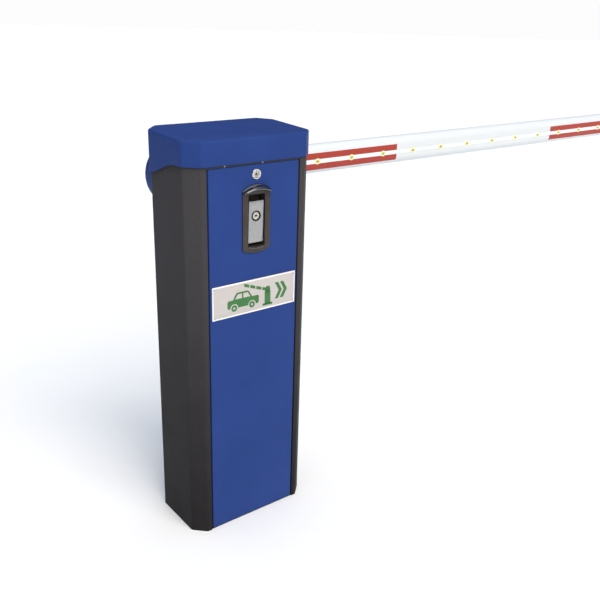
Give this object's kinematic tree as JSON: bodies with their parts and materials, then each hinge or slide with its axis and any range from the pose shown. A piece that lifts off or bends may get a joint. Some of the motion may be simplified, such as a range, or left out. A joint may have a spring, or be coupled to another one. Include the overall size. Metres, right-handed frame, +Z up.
{
  "type": "parking barrier gate",
  "caption": "Octagonal steel cabinet with a lockable door and lift-off lid, raising a long lamp-lined boom a quarter turn on a spring-balanced crank drive; bolts to the ground.",
  "frame": {"origin": "centre of the cabinet's footprint on the ground, at the base plate's underside", "axes": "+Z up, +X along the closed boom, the door faces -Y"},
  "size_m": [3.304, 0.3125, 1.0587],
  "materials": {
    "blue_paint": "satin powder coat",
    "anthracite_paint": "fine-textured powder coat",
    "zinc_steel": "zinc plated",
    "bright_steel": "machined",
    "plated_fasteners": "zinc plated",
    "cast_iron": "painted casting",
    "cast_aluminium": "as cast",
    "motor_steel": "painted",
    "black_plastic": "fine texture",
    "grey_plastic": "fine texture",
    "red_plastic": "moulded",
    "circuit_green": "solder resist",
    "transformer_iron": "laminated",
    "spring_steel": "oil blackened",
    "rubber": "matt",
    "white_paint": "white gloss paint",
    "frosted_strip": "translucent",
    "amber_lens": "clear amber",
    "red_reflective": "retroreflective",
    "sign_metal": "satin",
    "paddle_metal": "satin",
    "lock_chrome": "polished"
  },
  "bodies": {
    "cabinet": {"cabinet_shell": "anthracite_paint", "top_rail": "anthracite_paint", "base_plate": "zinc_steel", "door_pivot_pins": "bright_steel", "earth_stud": "plated_fasteners", "rear_mounting_plate": "zinc_steel", "bearing_bridge": "zinc_steel", "rear_bearing": "cast_iron", "front_bearing": "cast_iron", "bearing_bolts": "plated_fasteners", "gearbox_casing": "cast_iron", "gearbox_cover": "cast_aluminium", "gearbox_cover_screws": "plated_fasteners", "motor": "motor_steel", "motor_fan_cover": "black_plastic", "run_capacitor": "grey_plastic", "stop_buffers": "rubber", "balance_spring": "spring_steel", "spring_anchor": "zinc_steel", "switch_bracket": "zinc_steel", "limit_switches": "black_plastic", "control_box_base": "grey_plastic", "control_box_cover": "grey_plastic", "circuit_board": "circuit_green", "transformer": "transformer_iron", "cable_glands": "black_plastic"},
    "boom": {"main_shaft": "bright_steel", "drive_lever": "cast_iron", "limit_cams": "bright_steel", "hub_flange": "blue_paint", "hub_bolts": "plated_fasteners", "clamp_plate": "zinc_steel", "hub_cover": "blue_paint", "boom_profile": "white_paint", "lamp_strip": "frosted_strip", "lamps": "amber_lens", "red_tapes": "red_reflective", "boom_end_cap": "rubber"},
    "tie": {"tie_rod": "zinc_steel", "rod_ends": "cast_iron", "tie_lock_nuts": "plated_fasteners"},
    "crank": {"crank": "cast_iron"},
    "release": {"release_knob": "red_plastic"},
    "door": {"door_panel": "blue_paint", "sign_plate": "sign_metal", "sign_screws": "plated_fasteners", "handle_dish": "black_plastic", "paddle_pin": "bright_steel", "latch_case": "black_plastic", "rod_guides": "black_plastic", "top_lock_body": "lock_chrome"},
    "paddle": {"handle_paddle": "paddle_metal", "key_housing": "lock_chrome"},
    "key": {"key_plug": "lock_chrome", "lock_tongue": "zinc_steel"},
    "upper_rod": {"upper_latch_rod": "zinc_steel"},
    "lower_rod": {"lower_latch_rod": "zinc_steel"},
    "top_lock": {"top_lock_plug": "lock_chrome", "top_lock_cam": "zinc_steel"},
    "lid": {"lid": "blue_paint"}
  },
  "joints": [
    {"name": "boom_lift", "type": "hinge", "parent": "cabinet", "child": "boom", "pos_m": [-0.055, 0, 0.922], "axis": [0, -1, 0], "range_deg": [0, 90], "deforming": ["balance_spring"]},
    {"name": "tie_swing", "type": "hinge", "parent": "boom", "child": "tie", "pos_m": [-0.01257, -0.016, 0.87957], "axis": [0, -1, 0], "range_deg": [-90, 0]},
    {"name": "crank_turn", "type": "hinge", "parent": "cabinet", "child": "crank", "pos_m": [-0.055, 0, 0.592], "axis": [0, -1, 0], "range_deg": [0, 90]},
    {"name": "release_turn", "type": "hinge", "parent": "cabinet", "child": "release", "pos_m": [-0.093, 0, 0.632], "axis": [0, -1, 0], "range_deg": [0, 90]},
    {"name": "door_swing", "type": "hinge", "parent": "cabinet", "child": "door", "pos_m": [0.124, -0.1015, 0.5], "axis": [0, 0, 1], "range_deg": [0, 110]},
    {"name": "paddle_pull", "type": "hinge", "parent": "door", "child": "paddle", "pos_m": [0.0025, -0.104, 0.7965], "axis": [1, 0, 0], "range_deg": [0, 30], "stiffness_Nm_per_rad": 0.6, "springref_deg": -28.65},
    {"name": "key_turn", "type": "hinge", "parent": "paddle", "child": "key", "pos_m": [0.0025, -0.1095, 0.86], "axis": [0, -1, 0], "range_deg": [0, 90]},
    {"name": "upper_rod_slide", "type": "slide", "parent": "door", "child": "upper_rod", "axis": [0, 0, -1], "range_m": [0, 0.012]},
    {"name": "lower_rod_slide", "type": "slide", "parent": "door", "child": "lower_rod", "axis": [0, 0, 1], "range_m": [0, 0.012]},
    {"name": "top_lock_turn", "type": "hinge", "parent": "door", "child": "top_lock", "pos_m": [0.003, -0.1075, 0.962], "axis": [0, -1, 0], "range_deg": [0, 90]},
    {"name": "lid_lift", "type": "slide", "parent": "cabinet", "child": "lid", "axis": [0, 0, 1], "range_m": [0, 0.12]}
  ],
  "couplings": [
    {"joint": "crank_turn", "follows": "boom_lift", "ratio": 1},
    {"joint": "tie_swing", "follows": "boom_lift", "ratio": -1},
    {"joint": "upper_rod_slide", "follows": "paddle_pull", "m_per_rad": 0.022916},
    {"joint": "lower_rod_slide", "follows": "paddle_pull", "m_per_rad": 0.022916}
  ]
}
